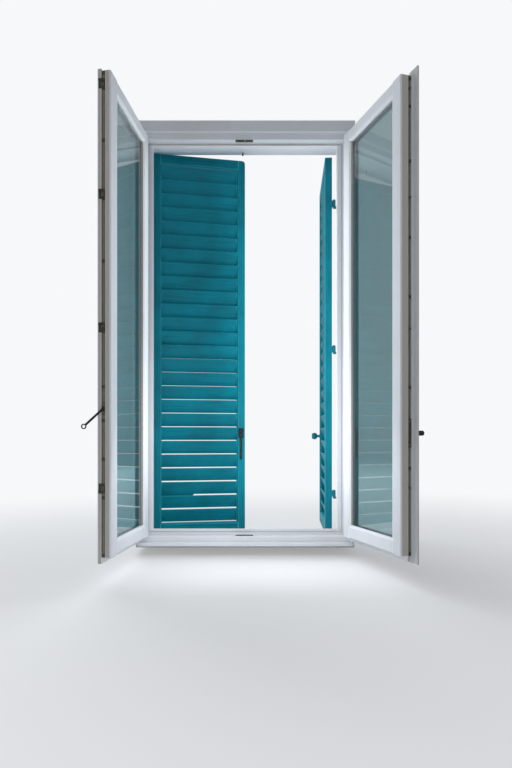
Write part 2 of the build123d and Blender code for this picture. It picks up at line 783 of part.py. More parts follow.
def astragal():
    """Cover strip on the right sash that laps the left one."""
    seat = RIGHT_MEET - ASTRAGAL_SEAT
    tip = RIGHT_MEET + ASTRAGAL_LAP
    front = Y_SASH_ROOM - ASTRAGAL_T
    return prism_z(
        [
            (seat, Y_SASH_ROOM),
            (RIGHT_MEET, Y_SASH_ROOM),
            (RIGHT_MEET, Y_SASH_ROOM - ASTRAGAL_CLEAR),
            (tip, Y_SASH_ROOM - ASTRAGAL_CLEAR),
            (tip, front + ASTRAGAL_ARRIS),
            (tip - ASTRAGAL_ARRIS, front),
            (seat + ASTRAGAL_ARRIS, front),
            (seat, front + ASTRAGAL_ARRIS),
        ],
        (SASH_BOTTOM - LIP_BOTTOM - ASTRAGAL_UNDER, SASH_TOP + LIP_TOP + ASTRAGAL_OVER),
    )


def handle_set():
    """Rose and handle, drawn on a sash hung on the left, grip level."""
    x = RIGHT_MEET - HANDLE_BACKSET
    face = Y_SASH_ROOM - ASTRAGAL_T
    rose = Rectangle(ROSE_W, ROSE_H)
    rose = fillet(rose.vertices(), ROSE_W / 2 - 1)
    rose = extrude(Plane.XZ * rose, amount=ROSE_T)
    rose = Pos(x, face, HANDLE_Z) * rose
    rose = rose - rod_y(x, (face - ROSE_T - PAST, face + PAST), HANDLE_Z, SPINDLE_HOLE_R)
    start = face - ROSE_T - HANDLE_GAP
    hub = rod_y(x, (start - HUB_L - HUB_END, start), HANDLE_Z, HUB_R)
    hub = chamfer(hub.edges().filter_by(GeomType.CIRCLE).sort_by(Axis.Y)[0], HUB_ARRIS)
    profile = [
        (0, 0),
        (GRIP_R, 0),
        (GRIP_TIP_R, GRIP_L - GRIP_TIP_L),
        (GRIP_TIP_R / 2, GRIP_L),
        (0, GRIP_L),
    ]
    grip = make_face(Polyline(*[(r, 0, h) for r, h in profile], close=True))
    grip = revolve(grip, axis=Axis.Z, revolution_arc=360)
    grip = Pos(x, start - HUB_L, HANDLE_Z) * Rot(0, -90, 0) * grip
    half = SPINDLE / 2
    spindle = block((x - half, x + half), (start, start + SPINDLE_L), (HANDLE_Z - half, HANDLE_Z + half))
    return rose, hub + grip + spindle


def spindle_hole():
    """Bore for the spindle through the astragal and into the stile."""
    face = Y_SASH_ROOM - ASTRAGAL_T
    return rod_y(RIGHT_MEET - HANDLE_BACKSET, (face - PAST, face + SPINDLE_L), HANDLE_Z, SPINDLE_HOLE_R)


# Shutters, drawn closed and hung on the left

def shutter_parts(inner_edge, outer_edge, step):
    """Stiles, rails and slats of one closed shutter."""
    z = (0, SHUTTER_TOP)
    c = SHUTTER_CHAMFER
    inside = SHUTTER_EDGE + SHUTTER_STILE_W
    hinge = prism_z(
        [
            (SHUTTER_EDGE, SHUTTER_Y),
            (inside - c, SHUTTER_Y),
            (inside, SHUTTER_Y + c),
            (inside, Y_FACE - c),
            (inside - c, Y_FACE),
            (SHUTTER_EDGE, Y_FACE),
        ],
        z,
    )
    meet = inner_edge - SHUTTER_STILE_W
    free = prism_z(
        [
            (meet, SHUTTER_Y + c),
            (meet + c, SHUTTER_Y),
            (inner_edge, SHUTTER_Y),
            (inner_edge, step),
            (outer_edge, step),
            (outer_edge, Y_FACE),
            (meet + c, Y_FACE),
            (meet, Y_FACE - c),
        ],
        z,
    )
    edge = max(inner_edge, outer_edge)
    corner_x = edge - SHUTTER_CORNER_R
    corner_z = SHUTTER_TOP - SHUTTER_CORNER_R
    y = (SHUTTER_Y - PAST, Y_FACE + PAST)
    corner = block((corner_x, edge + PAST), y, (corner_z, SHUTTER_TOP + PAST))
    free = free - (corner - rod_y(corner_x, y, corner_z, SHUTTER_CORNER_R))

    span = (inside - COPE, meet + COPE)
    under = SHUTTER_TOP - SHUTTER_TOP_H
    top = prism_x(
        [
            (SHUTTER_Y, SHUTTER_TOP),
            (SHUTTER_Y, under + c),
            (SHUTTER_Y + c, under),
            (Y_FACE - c, under),
            (Y_FACE, under + c),
            (Y_FACE, SHUTTER_TOP),
        ],
        span,
    )
    over = SHUTTER_BOTTOM_H
    low = prism_x(
        [
            (SHUTTER_Y, 0),
            (SHUTTER_Y, over - c),
            (SHUTTER_Y + c, over),
            (Y_FACE - c, over),
            (Y_FACE, over - c),
            (Y_FACE, 0),
        ],
        span,
    )
    top = top - hinge - free
    low = low - hinge - free

    rise = (SLAT_L - SLAT_T) * sin(radians(SLAT_ANGLE)) + SLAT_T
    first = over + SLAT_END_GAP + rise / 2
    run = under - SLAT_END_GAP - rise / 2 - first
    count = round(run / SLAT_PITCH)
    outline = SlotCenterToCenter(SLAT_L - SLAT_T, SLAT_T, rotation=-SLAT_ANGLE)
    slat = extrude(Plane.YZ * outline, amount=meet - inside, dir=(1, 0, 0))
    slats = [Pos(inside, SHUTTER_MID, first + i * run / count) * slat for i in range(count + 1)]
    return {
        "stile_hinge": [hinge],
        "stile_meeting": [free],
        "rail_top": [top],
        "rail_bottom": [low],
        "slats": slats,
        "straps": [strap(height) for height in SHUTTER_HINGE_Z],
    }


def strap(height):
    """Strap hinge on the outer face, with the eye that hangs on the pintle."""
    x, y = SHUTTER_PIVOT
    eye_z = (height - EYE_H / 2, height + EYE_H / 2)
    eye = rod_z(x, y, eye_z, EYE_R)
    web = block((x, x + EYE_R), (Y_FACE, y), eye_z)
    half = STRAP_H / 2
    leaf = block((x, x + STRAP_L), (Y_FACE, Y_FACE + STRAP_T), (height - half, height + half))
    nose = rod_y(x + STRAP_L, (Y_FACE, Y_FACE + STRAP_T), height, half)
    body = eye + web + leaf + nose
    for share in STRAP_SCREWS_AT:
        y_head = (Y_FACE + STRAP_T, Y_FACE + STRAP_T + HEAD_T)
        body = body + rod_y(x + share * STRAP_L, y_head, height, HEAD_R)
    bore = (eye_z[0] - PAST, eye_z[1] + PAST)
    return body - rod_z(x, y, bore, PINTLE_R + RUN_FIT)


def pintle(height):
    """Plate on the lining's edge with an arm and an upright pin."""
    x, y = SHUTTER_PIVOT
    plate_x = (-LINING_HALF - PLATE_W - PLATE_IN, -LINING_HALF - PLATE_IN)
    top = height - EYE_H / 2 - PINTLE_GAP
    arm_z = (top - PINTLE_ARM_H, top)
    plate = block(plate_x, (Y_FACE, Y_FACE + PLATE_D), (top - PLATE_H / 2, top + PLATE_H / 2))
    arm_y = (y - PINTLE_ARM_D / 2, y + PINTLE_ARM_D / 2)
    arm = block((plate_x[0] + PLATE_W / 4, x), (Y_FACE + PLATE_D, arm_y[1]), arm_z)
    boss = rod_z(x, y, arm_z, PINTLE_ARM_D / 2)
    pin = rod_z(x, y, (arm_z[0], height + EYE_H / 2 + PINTLE_TOP), PINTLE_R)
    body = plate + arm + boss + pin
    middle = (plate_x[0] + plate_x[1]) / 2
    for offset in (-PLATE_SCREW_AT, PLATE_SCREW_AT):
        head_y = (Y_FACE + PLATE_D, Y_FACE + PLATE_D + HEAD_T)
        body = body + rod_y(middle, head_y, top + offset * PLATE_H, HEAD_R)
    return body


def latch():
    """Plate with a riveted pin on the left shutter, and the bar that hangs on it."""
    plate_y = SHUTTER_Y - LATCH_PLATE_T
    x = (LATCH_X - LATCH_PLATE_W / 2, LATCH_X + LATCH_PLATE_W / 2)
    z = (LATCH_Z - LATCH_PLATE_H / 2, LATCH_Z + LATCH_PLATE_H / 2)
    bar_y = (plate_y - LATCH_CLEAR - LATCH_BAR_T, plate_y - LATCH_CLEAR)
    cap_y = (bar_y[0] - LATCH_CLEAR - LATCH_CAP_T, bar_y[0] - LATCH_CLEAR)
    plate = block(x, (plate_y, SHUTTER_Y), z)
    plate = plate + rod_y(LATCH_X, (cap_y[0], plate_y), LATCH_Z, LATCH_PIN_R)
    plate = plate + rod_y(LATCH_X, cap_y, LATCH_Z, LATCH_CAP_R)

    half = LATCH_BAR_W / 2
    end = LATCH_Z - LATCH_BAR_L
    bar = block((LATCH_X - half, LATCH_X + half), bar_y, (end, LATCH_Z))
    bar = bar + rod_y(LATCH_X, bar_y, LATCH_Z, LATCH_HUB_R)
    bar = bar + rod_y(LATCH_X, (bar_y[1] - LATCH_TIP_T, bar_y[1]), end, LATCH_TIP_R)
    bore = (bar_y[0] - PAST, bar_y[1] + PAST)
    bar = bar - rod_y(LATCH_X, bore, LATCH_Z, LATCH_PIN_R + RUN_FIT)
    return plate, bar


def shutter_knob():
    """Turned pull on the right shutter that the latch bar drops behind."""
    z = LATCH_Z - LATCH_BAR_W / 2 - KNOB_BELOW - KNOB_NECK_R
    neck = KNOB_BASE_T + KNOB_NECK_L
    head = KNOB_LENGTH - neck
    profile = [
        (0, 0),
        (KNOB_BASE_R, 0),
        (KNOB_BASE_R, KNOB_BASE_T),
        (KNOB_NECK_R, KNOB_BASE_T),
        (KNOB_NECK_R, neck),
        (KNOB_BACK_R, neck + KNOB_FLARE),
        (KNOB_R, neck + head * KNOB_WIDE_AT[0]),
        (KNOB_R, neck + head * KNOB_WIDE_AT[1]),
        (KNOB_FRONT_R, KNOB_LENGTH),
        (0, KNOB_LENGTH),
    ]
    face = make_face(Polyline(*[(r, 0, h) for r, h in profile], close=True))
    turned_piece = revolve(face, axis=Axis.Z, revolution_arc=360)
    return Pos(-KNOB_X, SHUTTER_Y, z) * Rot(90, 0, 0) * turned_piece


# Assembly: each leaf is drawn closed and then turned to where it stands

def build_nodes():
    """All nodes in their place at rest."""
    nodes = {}
    nodes.update(fixed_frame())
    nodes.update(room_trim())
    nodes.update(outer_lining())
    halves = [frame_hinge_half(z) for z in SASH_HINGE_Z]
    nodes["frame_hinge_halves"] = halves + [flipped(half) for half in halves]
    pintles = [pintle(z) for z in SHUTTER_HINGE_Z]
    nodes["shutter_pintles"] = pintles + [flipped(piece) for piece in pintles]

    left = sash_parts(LEFT_MEET, LEFT_FREE_STILE_W)
    left["stile_meeting"] = [left["stile_meeting"][0] - edge_groove(LEFT_MEET, LEFT_GROOVE)]
    left.update(left_edge_gear())
    for name, shapes in left.items():
        nodes["left_sash_" + name] = [turned(s, SASH_PIVOT, -LEFT_SASH_OPEN) for s in shapes]

    right = sash_parts(RIGHT_MEET, STILE_W)
    free = right["stile_meeting"][0] - edge_groove(RIGHT_MEET, RIGHT_GROOVE) - spindle_hole()
    right["stile_meeting"] = [free]
    right.update(right_edge_gear())
    rose, handle = handle_set()
    right["astragal"] = [astragal() - spindle_hole()]
    right["handle_rose"] = [rose]
    right["handle"] = [handle]
    for name, shapes in right.items():
        placed = [turned(s, SASH_PIVOT, -RIGHT_SASH_OPEN) for s in shapes]
        nodes["right_sash_" + name] = [flipped(s) for s in placed]

    half = SHUTTER_MEET_CLEAR / 2
    shut = shutter_parts(SHUTTER_LAP_X, SHUTTER_LAP_X - SHUTTER_LAP, SHUTTER_MID - half)
    plate, bar = latch()
    shut["latch_plate"] = [plate]
    shut["latch_bar"] = [bar]
    for name, shapes in shut.items():
        nodes["left_shutter_" + name] = [turned(s, SHUTTER_PIVOT, LEFT_SHUTTER_OPEN) for s in shapes]

    inner = -SHUTTER_LAP_X - SHUTTER_PASS
    outer = SHUTTER_LAP - SHUTTER_LAP_X - SHUTTER_LAP_GAP
    shut = shutter_parts(inner, outer, SHUTTER_MID + half)
    shut["knob"] = [shutter_knob()]
    for name, shapes in shut.items():
        placed = [turned(s, SHUTTER_PIVOT, RIGHT_SHUTTER_OPEN) for s in shapes]
        nodes["right_shutter_" + name] = [flipped(s) for s in placed]
    return nodes


os.makedirs("parts", exist_ok=True)
NODES = build_nodes()
for node_name, node_shapes in NODES.items():
    export_step(Compound(children=solids_of(node_shapes)), "parts/" + node_name + ".step")
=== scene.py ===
import math

import bmesh
import bpy
from mathutils import Matrix, Vector


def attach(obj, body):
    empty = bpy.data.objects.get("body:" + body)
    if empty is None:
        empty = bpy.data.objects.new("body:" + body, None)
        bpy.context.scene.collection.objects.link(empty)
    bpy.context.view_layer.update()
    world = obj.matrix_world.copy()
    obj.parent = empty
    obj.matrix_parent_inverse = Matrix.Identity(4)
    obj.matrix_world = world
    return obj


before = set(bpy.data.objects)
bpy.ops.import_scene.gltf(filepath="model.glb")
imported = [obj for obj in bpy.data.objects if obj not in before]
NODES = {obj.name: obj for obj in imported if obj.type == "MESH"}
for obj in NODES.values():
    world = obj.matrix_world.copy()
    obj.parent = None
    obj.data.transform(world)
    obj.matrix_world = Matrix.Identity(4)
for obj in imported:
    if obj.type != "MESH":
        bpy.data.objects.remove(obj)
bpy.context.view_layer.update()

# Leaves at rest: pivot in metres, and the turn from closed in degrees; the frame doesn't turn
LEAVES = {
    "left_sash": ((-0.538, -0.046), -98.5),
    "right_sash": ((0.538, -0.046), 107.0),
    "left_shutter": ((-0.519, 0.327), 10.0),
    "right_shutter": ((0.519, 0.327), -95.0),
    "frame": ((0.0, 0.0), 0.0),
}

# Where the meeting edge of a closed sash faces, in degrees from +X; faces that look this way get painted
# shade
MEETING_EDGE_FACES = {"left_sash": 0.0, "right_sash": 180.0}

# Timber members that share one paint, and the words in the names of the others that run level
TRIM = ("frame_head", "frame_bottom_rail", "head_casing", "bottom_trim", "lining_head", "rain_bar")
LINING_SIDES = ("lining_left", "lining_right")
LEVEL_WORDS = ("rail", "head", "slats")

# Colours of paint, glass and rubber
TEAL = (0.0, 0.2, 0.265)
TEAL_DEEP = (0.0, 0.16, 0.215)
TEAL_PALE = (0.001, 0.24, 0.32)
TEAL_DARK = (0.0, 0.05, 0.072)
TEAL_DUST = (0.03, 0.36, 0.46)
# Pale teal on the arrises: worn paint with a painted highlight
TEAL_ARRIS_WEAR_AND_HIGHLIGHT = (0.08, 0.66, 0.74)
WHITE = (0.74, 0.76, 0.8)
WHITE_DIRT = (0.62, 0.62, 0.62)
# Near-white on the arrises: worn paint with a painted highlight
WHITE_ARRIS_WEAR_AND_HIGHLIGHT = (0.98, 0.98, 0.99)
# Painted shade on the faces of a sash's meeting edge
MEETING_EDGE_PAINTED_SHADE = (0.5, 0.47, 0.42)
# Lining sides: the white paint darkened with painted shade
LINING_WITH_PAINTED_SHADE = (0.66, 0.68, 0.71)
SILL = (0.6, 0.61, 0.6)
SILL_DIRT = (0.36, 0.35, 0.32)
# Green tint of the glass, darkened with painted shade
GLASS_TINT_AND_PAINTED_SHADE = (0.66, 0.78, 0.79)
RUBBER = (0.5, 0.5, 0.48)

# How dark the grain and the rubber's specks are, as shares of the colour
GRAIN_SHADE = 0.86
RUBBER_SHADE = 0.8

# Metals: colour, worn colour, least and most roughness, metallic share
METALS = {
    "edge_gear": ((0.075, 0.07, 0.045), (0.2, 0.19, 0.15), (0.3, 0.5), 0.75),
    "rod_steel": ((0.2, 0.19, 0.16), (0.34, 0.33, 0.3), (0.28, 0.42), 0.9),
    "keep_bronze": ((0.06, 0.056, 0.04), (0.15, 0.14, 0.11), (0.35, 0.5), 0.6),
    "black_coat": ((0.008, 0.008, 0.009), (0.03, 0.03, 0.03), (0.3, 0.45), 0.2),
    "dark_bronze": ((0.028, 0.024, 0.02), (0.08, 0.07, 0.055), (0.3, 0.45), 0.7),
    "hinge_paint": ((0.66, 0.67, 0.68), (0.5, 0.5, 0.48), (0.3, 0.45), 0.0),
    "shutter_iron": (TEAL, (0.01, 0.05, 0.06), (0.35, 0.55), 0.0),
    "stop_iron": ((0.03, 0.035, 0.04), (0.06, 0.05, 0.045), (0.45, 0.6), 0.4),
    "latch_metal": ((0.012, 0.03, 0.034), (0.1, 0.13, 0.13), (0.35, 0.5), 0.4),
    "spacer_bar": ((0.5, 0.5, 0.5), (0.4, 0.4, 0.4), (0.35, 0.45), 0.9),
    "screw_steel": ((0.32, 0.31, 0.29), (0.16, 0.15, 0.13), (0.25, 0.4), 0.9),
    "screw_dark": ((0.05, 0.05, 0.045), (0.14, 0.13, 0.11), (0.3, 0.45), 0.8),
}

# The nodes that each metal is on
FITTINGS = {
    "edge_gear": ("left_sash_edge_plate", "right_sash_edge_plate", "frame_strikes"),
    "rod_steel": (
        "left_sash_shoot_bolt_top",
        "left_sash_shoot_bolt_bottom",
        "right_sash_lock_rod_top",
        "right_sash_lock_rod_bottom",
    ),
    "keep_bronze": ("left_sash_edge_keeps",),
    "black_coat": ("left_sash_flip_lever",),
    "dark_bronze": ("right_sash_handle", "right_sash_handle_rose"),
    "hinge_paint": ("frame_hinge_halves", "left_sash_hinge_halves", "right_sash_hinge_halves"),
    "shutter_iron": ("shutter_pintles", "left_shutter_straps", "right_shutter_straps", "right_shutter_knob"),
    "stop_iron": ("shutter_stop_pin",),
    "latch_metal": ("left_shutter_latch_plate", "left_shutter_latch_bar"),
    "spacer_bar": ("left_sash_spacer", "right_sash_spacer"),
}

# Noise patterns: scale, detail, roughness and, where there is any, distortion
PAINT_PATCHES = (3.5, 5.0, 0.6)
BRUSH_MARKS = (260.0, 3.0, 0.5)
PAINT_GRAIN = (90.0, 6.0, 0.65, 0.4)
SHUTTER_PATCHES = (6.0, 6.0, 0.6)
SHUTTER_GRAIN = (110.0, 6.0, 0.65, 0.5)
DUST_SPECKS = (180.0, 4.0, 0.6)
METAL_PATCHES = (60.0, 6.0, 0.65)
METAL_SPECKS = (500.0, 2.0, 0.5)
GLASS_PATCHES = (5.0, 4.0, 0.6)
RUBBER_SPECKS = (300.0, 3.0, 0.55)

# How far marks are drawn out along a member, and how much the brush marks add to the bump
GRAIN_STRETCH = 0.035
BRUSH_SHARE = 0.5

# The stretch of a noise pattern that is used where a mask names no other
NOISE_LOW = 0.3
NOISE_HIGH = 0.7

# Masks: least and most, then the values of the pattern where they are reached
DIRT_MASK = (0.0, 0.55, 0.45, 0.75)
GRAIN_MASK = (0.0, 0.35, 0.5, 0.8)
SHUTTER_GRAIN_MASK = (0.0, 0.5, 0.5, 0.8)
UPWARD_MASK = (0.0, 0.5, 0.3, 0.95)
SPECK_MASK = (0.4, 1.0)
METAL_WEAR_MASK = (0.0, 0.7, 0.5, 0.78)
PAINTED_SHADE_FACING_MASK = (0.0, 1.0, 0.85, 0.97)

# Teal over the patches: places on the ramp and their colours
TEAL_STOPS = ((0.3, TEAL_DEEP), (0.5, TEAL), (0.72, TEAL_PALE))

# Worn arrises with a painted highlight: reach in metres and strength, then the cosines where the pale edge
# starts and is full
PAINT_ARRIS_WEAR_AND_HIGHLIGHT = (0.0045, 1.0)
SHUTTER_ARRIS_WEAR_AND_HIGHLIGHT = (0.005, 0.95)
ARRIS_WEAR_AND_HIGHLIGHT_START = 0.99
ARRIS_WEAR_AND_HIGHLIGHT_FULL = 0.8

# Bumps: strength, then the depth and the rounding of the arrises in metres
PAINT_BUMP = (0.12, 0.0006, 0.0015)
SILL_BUMP = (0.3, 0.0006, 0.0015)
SHUTTER_BUMP = (0.25, 0.0006, 0.0012)
METAL_BUMP = (0.08, 0.0002, 0.0004)
RUBBER_BUMP = (0.1, 0.0003, 0.0005)
BEVEL_SAMPLES = 4

# Roughness, least and most where it varies, and the other settings of the shaders
PAINT_ROUGH = (0.3, 0.45)
SILL_ROUGH = (0.45, 0.65)
SHUTTER_ROUGH = (0.4, 0.6)
GLASS_ROUGH = (0.0, 0.03)
RUBBER_ROUGH = 0.75
SHUTTER_SPECULAR = 0.22
GLASS_IOR = 1.6

# Sockets of a Mix node that mixes colours
MIX_FACTOR = 0
MIX_FIRST = 6
MIX_SECOND = 7
MIX_RESULT = 2

# Screw heads, in metres; the shares are of the head's height, its radius and the socket's radius
SCREW_SIDES = 20
SCREW_R = 0.0028
SCREW_PROUD = 0.0003
SCREW_RIM_SHARE = 0.5
SCREW_TOP_SHARE = 0.85
SOCKET_R = 0.0012
SOCKET_DEPTH = 0.00025
SOCKET_FLOOR_SHARE = 0.8

# Places of the screws, in metres on the closed leaves; the keeps stand at shares of the sash's height
SASH_FOOT = 0.055
SASH_HEIGHT = 2.025
KEEPS_AT = (0.1417, 0.4726, 0.7467, 0.9738)
KEEP_X = 0.0052
KEEP_Y = -0.0375
KEEP_SCREW_Z = 0.0165
STRIKE_X = -0.005
STRIKE_SCREW_X = 0.035
STRIKE_Y = -0.023
STRIKE_TOP_Z = 2.082
STRIKE_LOW_Z = 0.052
LATCH = (-0.02, 0.272, 0.58)
LATCH_SCREW_X = 0.0115
LATCH_SCREW_Z = 0.025

# Gear cases: middle of the face, and how far its two screws stand below and above
LEFT_CASE = (0.004, -0.02675, 0.674, 0.017)
RIGHT_CASE = (0.012, -0.039, 0.573, 0.05)

# Backdrop: its colour, and how much of it shows through glass and in reflections
BACKDROP = (0.93, 0.94, 0.95, 1)
THROUGH_GLASS = 0.25
IN_MIRROR = 0.35

# Light of the world on the object
WORLD_COLOUR = (0.86, 0.92, 1.0, 1)
WORLD_STRENGTH = 0.26

# Floor: size, height and the distances where it pales into the backdrop, in metres
FLOOR_SIZE = 40.0
FLOOR_Z = -0.06
FLOOR_COLOUR = (0.82, 0.82, 0.83)
FLOOR_ROUGH = 0.9
FLOOR_SPECULAR = 0.1
FADE_START = 0.5
FADE_END = 4.5
FADE_LEAST = 0.35

# Camera: place and clip distances in metres, pitch in degrees, sensor and lens in millimetres
CAMERA_PLACE = (-0.0475, -2.911, 0.5543)
CAMERA_PITCH = 90.0
SENSOR_WIDTH = 36.0
LENS = 26.25
SHIFT_X = 0.026
SHIFT_Y = 0.0697
CLIP_START = 0.05
CLIP_END = 200.0


def placed(leaf):
    """Matrix from a leaf's closed place to its place at rest."""
    (px, py), angle = LEAVES[leaf]
    pivot = Matrix.Translation((px, py, 0))
    return pivot @ Matrix.Rotation(math.radians(angle), 4, "Z") @ pivot.inverted()


# Shader building blocks


def link(tree, a, b):
    """Joins an output to an input."""
    tree.links.new(a, b)


def node(tree, kind, **values):
    """Adds a node with some of its settings."""
    made = tree.nodes.new(kind)
    for name, value in values.items():
        setattr(made, name, value)
    return made


def new_material(name):
    """Material with its tree and a plain surface shader."""
    material = bpy.data.materials.new(name)
    material.use_nodes = True
    tree = material.node_tree
    tree.nodes.clear()
    shader = node(tree, "ShaderNodeBsdfPrincipled")
    out = node(tree, "ShaderNodeOutputMaterial")
    link(tree, shader.outputs["BSDF"], out.inputs["Surface"])
    return material, tree, shader


def mapped(tree, scale=(1.0, 1.0, 1.0), turn=0.0):
    """Object coordinates turned about z and stretched."""
    where = node(tree, "ShaderNodeTexCoord")
    first = node(tree, "ShaderNodeMapping")
    first.inputs["Rotation"].default_value = (0, 0, math.radians(-turn))
    second = node(tree, "ShaderNodeMapping")
    second.inputs["Scale"].default_value = scale
    link(tree, where.outputs["Object"], first.inputs["Vector"])
    link(tree, first.outputs["Vector"], second.inputs["Vector"])
    return second.outputs["Vector"]


def along_member(tree, way, turn):
    """Coordinates for marks that run up, or level along a leaf that is turned."""
    scale = (1.0, 1.0, GRAIN_STRETCH) if way == "up" else (GRAIN_STRETCH, 1.0, 1.0)
    return mapped(tree, scale, turn)


def noise(tree, vector, scale, detail, roughness, distortion=0.0):
    """Noise pattern over coordinates, as a value around a half."""
    made = node(tree, "ShaderNodeTexNoise")
    made.inputs["Scale"].default_value = scale
    made.inputs["Detail"].default_value = detail
    made.inputs["Roughness"].default_value = roughness
    made.inputs["Distortion"].default_value = distortion
    link(tree, vector, made.inputs["Vector"])
    return made.outputs["Fac"]


def ramp(tree, value, stops):
    """Colour ramp over a value; stops are (position, colour)."""
    made = node(tree, "ShaderNodeValToRGB")
    elements = made.color_ramp.elements
    while len(elements) > 1:
        elements.remove(elements[-1])
    elements[0].position = stops[0][0]
    elements[0].color = (*stops[0][1], 1)
    for position, colour in stops[1:]:
        added = elements.new(position)
        added.color = (*colour, 1)
    link(tree, value, made.inputs["Fac"])
    return made.outputs["Color"]


def spread(tree, value, low, high, start=NOISE_LOW, end=NOISE_HIGH):
    """A value from start..end spread over low..high."""
    made = node(tree, "ShaderNodeMapRange")
    made.inputs["From Min"].default_value = start
    made.inputs["From Max"].default_value = end
    made.inputs["To Min"].default_value = low
    made.inputs["To Max"].default_value = high
    link(tree, value, made.inputs["Value"])
    return made.outputs["Result"]


def mixed(tree, factor, a, b):
    """Two colours mixed by a factor; each colour is a socket or a tuple."""
    made = node(tree, "ShaderNodeMix", data_type="RGBA")
    for socket, value in ((made.inputs[MIX_FIRST], a), (made.inputs[MIX_SECOND], b)):
        if isinstance(value, tuple):
            socket.default_value = (*value, 1)
        else:
            link(tree, value, socket)
    link(tree, factor, made.inputs[MIX_FACTOR])
    return made.outputs[MIX_RESULT]


def worked_out(tree, operation, a, b):
    """One arithmetic operation; each value is a socket or a number."""
    made = node(tree, "ShaderNodeMath", operation=operation)
    for socket, value in ((made.inputs[0], a), (made.inputs[1], b)):
        if isinstance(value, float):
            socket.default_value = value
        else:
            link(tree, value, socket)
    return made.outputs[0]


def rounded_normal(tree, radius):
    """Normal that softens the edges of the solids."""
    made = node(tree, "ShaderNodeBevel", samples=BEVEL_SAMPLES)
    made.inputs["Radius"].default_value = radius
    return made.outputs["Normal"]


def worn_and_highlighted_arrises(tree, radius, amount):
    """Pale arrises, worn paint with a painted highlight: rises from none on flat faces to an amount along
    the arrises.
    """
    geometry = node(tree, "ShaderNodeNewGeometry")
    facing = node(tree, "ShaderNodeVectorMath", operation="DOT_PRODUCT")
    link(tree, geometry.outputs["True Normal"], facing.inputs[0])
    link(tree, rounded_normal(tree, radius), facing.inputs[1])
    return spread(tree, facing.outputs["Value"], 0.0, amount, ARRIS_WEAR_AND_HIGHLIGHT_START, ARRIS_WEAR_AND_HIGHLIGHT_FULL)


def painted_shade_on_faces_along(tree, angle):
    """Mask of painted shade: one on faces that look along a level direction of the piece, none on the
    others.
    """
    where = node(tree, "ShaderNodeTexCoord")
    facing = node(tree, "ShaderNodeVectorMath", operation="DOT_PRODUCT")
    link(tree, where.outputs["Normal"], facing.inputs[0])
    facing.inputs[1].default_value = (math.cos(angle), math.sin(angle), 0)
    return spread(tree, facing.outputs["Value"], *PAINTED_SHADE_FACING_MASK)


def faces_up(tree):
    """Rises as a face looks further up."""
    parts = node(tree, "ShaderNodeSeparateXYZ")
    geometry = node(tree, "ShaderNodeNewGeometry")
    link(tree, geometry.outputs["Normal"], parts.inputs["Vector"])
    return spread(tree, parts.outputs["Z"], *UPWARD_MASK)


def bumped(tree, shader, height, strength, distance, radius):
    """Bump over softened edges."""
    bump = node(tree, "ShaderNodeBump")
    bump.inputs["Strength"].default_value = strength
    bump.inputs["Distance"].default_value = distance
    link(tree, height, bump.inputs["Height"])
    link(tree, rounded_normal(tree, radius), bump.inputs["Normal"])
    link(tree, bump.outputs["Normal"], shader.inputs["Normal"])


# Materials


def paint(name, colour, dirt, way, turn=0.0, rough=PAINT_ROUGH, bump=PAINT_BUMP, edge=None):
    """Brushed paint over timber: soft dirt, brush marks, a faint grain, pale arrises of worn paint with a
    painted highlight and, where edge gives a direction, painted shade on the faces that look that way.
    """
    material, tree, shader = new_material(name)
    along = along_member(tree, way, turn)
    patches = noise(tree, mapped(tree), *PAINT_PATCHES)
    marks = noise(tree, along, *BRUSH_MARKS)
    wood = noise(tree, along, *PAINT_GRAIN)
    base = mixed(tree, spread(tree, patches, *DIRT_MASK), colour, dirt)
    streak = tuple(c * GRAIN_SHADE for c in colour)
    base = mixed(tree, spread(tree, wood, *GRAIN_MASK), base, streak)
    # Painted shade on the faces that look the way of the meeting edge
    if edge is not None:
        base = mixed(tree, painted_shade_on_faces_along(tree, edge), base, MEETING_EDGE_PAINTED_SHADE)
    # Pale arrises: worn paint with a painted highlight
    base = mixed(tree, worn_and_highlighted_arrises(tree, *PAINT_ARRIS_WEAR_AND_HIGHLIGHT), base, WHITE_ARRIS_WEAR_AND_HIGHLIGHT)
    link(tree, base, shader.inputs["Base Color"])
    link(tree, spread(tree, patches, *rough), shader.inputs["Roughness"])
    height = worked_out(tree, "ADD", worked_out(tree, "MULTIPLY", marks, BRUSH_SHARE), wood)
    bumped(tree, shader, height, *bump)
    return material


def shutter_paint(name, way, turn):
    """Worn teal paint: dark grain, pale arrises of worn paint with a painted highlight, and pale dust on
    upward faces.
    """
    material, tree, shader = new_material(name)
    along = along_member(tree, way, turn)
    plain = mapped(tree)
    patches = noise(tree, plain, *SHUTTER_PATCHES)
    wood = noise(tree, along, *SHUTTER_GRAIN)
    specks = noise(tree, plain, *DUST_SPECKS)
    teal = ramp(tree, patches, TEAL_STOPS)
    teal = mixed(tree, spread(tree, wood, *SHUTTER_GRAIN_MASK), teal, TEAL_DARK)
    # Pale arrises: worn paint with a painted highlight
    teal = mixed(tree, worn_and_highlighted_arrises(tree, *SHUTTER_ARRIS_WEAR_AND_HIGHLIGHT), teal, TEAL_ARRIS_WEAR_AND_HIGHLIGHT)
    dust = worked_out(tree, "MULTIPLY", faces_up(tree), spread(tree, specks, *SPECK_MASK))
    teal = mixed(tree, dust, teal, TEAL_DUST)
    link(tree, teal, shader.inputs["Base Color"])
    link(tree, spread(tree, patches, *SHUTTER_ROUGH), shader.inputs["Roughness"])
    shader.inputs["Specular IOR Level"].default_value = SHUTTER_SPECULAR
    bumped(tree, shader, wood, *SHUTTER_BUMP)
    return material


